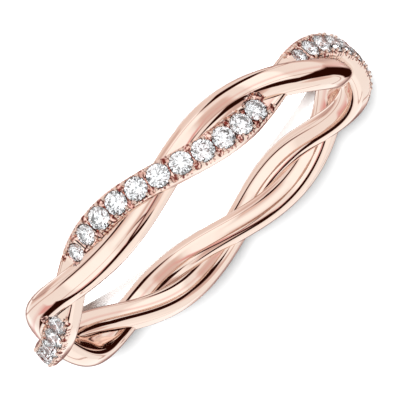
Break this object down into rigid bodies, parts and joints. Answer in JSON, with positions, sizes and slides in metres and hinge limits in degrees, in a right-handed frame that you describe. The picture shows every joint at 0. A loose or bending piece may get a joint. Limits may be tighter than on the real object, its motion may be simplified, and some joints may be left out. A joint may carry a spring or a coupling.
{
  "type": "eternity ring",
  "caption": "Slim finger ring of a smooth strand and a paved strand twisted round each other, with small round stones wherever the paved one comes to the outside.",
  "frame": {"origin": "on the surface that the ring lies on, under the middle of the finger hole", "axes": "+Z along the finger, up from the surface; -Y through the middle stone of the first row"},
  "size_m": [0.02, 0.02, 0.0026],
  "materials": {
    "rose_gold": "polished rose gold",
    "clear_stone": "faceted and polished colourless stone"
  },
  "bodies": {
    "root": {"ring_band": "rose_gold", "stone_1_1": "clear_stone", "stone_1_2": "clear_stone", "stone_1_3": "clear_stone", "stone_1_4": "clear_stone", "stone_1_5": "clear_stone", "stone_1_6": "clear_stone", "stone_1_7": "clear_stone", "stone_1_8": "clear_stone", "stone_1_9": "clear_stone", "stone_1_10": "clear_stone", "stone_1_11": "clear_stone", "stone_2_1": "clear_stone", "stone_2_2": "clear_stone", "stone_2_3": "clear_stone", "stone_2_4": "clear_stone", "stone_2_5": "clear_stone", "stone_2_6": "clear_stone", "stone_2_7": "clear_stone", "stone_2_8": "clear_stone", "stone_2_9": "clear_stone", "stone_2_10": "clear_stone", "stone_2_11": "clear_stone", "stone_3_1": "clear_stone", "stone_3_2": "clear_stone", "stone_3_3": "clear_stone", "stone_3_4": "clear_stone", "stone_3_5": "clear_stone", "stone_3_6": "clear_stone", "stone_3_7": "clear_stone", "stone_3_8": "clear_stone", "stone_3_9": "clear_stone", "stone_3_10": "clear_stone", "stone_3_11": "clear_stone", "stone_4_1": "clear_stone", "stone_4_2": "clear_stone", "stone_4_3": "clear_stone", "stone_4_4": "clear_stone", "stone_4_5": "clear_stone", "stone_4_6": "clear_stone", "stone_4_7": "clear_stone", "stone_4_8": "clear_stone", "stone_4_9": "clear_stone", "stone_4_10": "clear_stone", "stone_4_11": "clear_stone"}
  },
  "joints": []
}
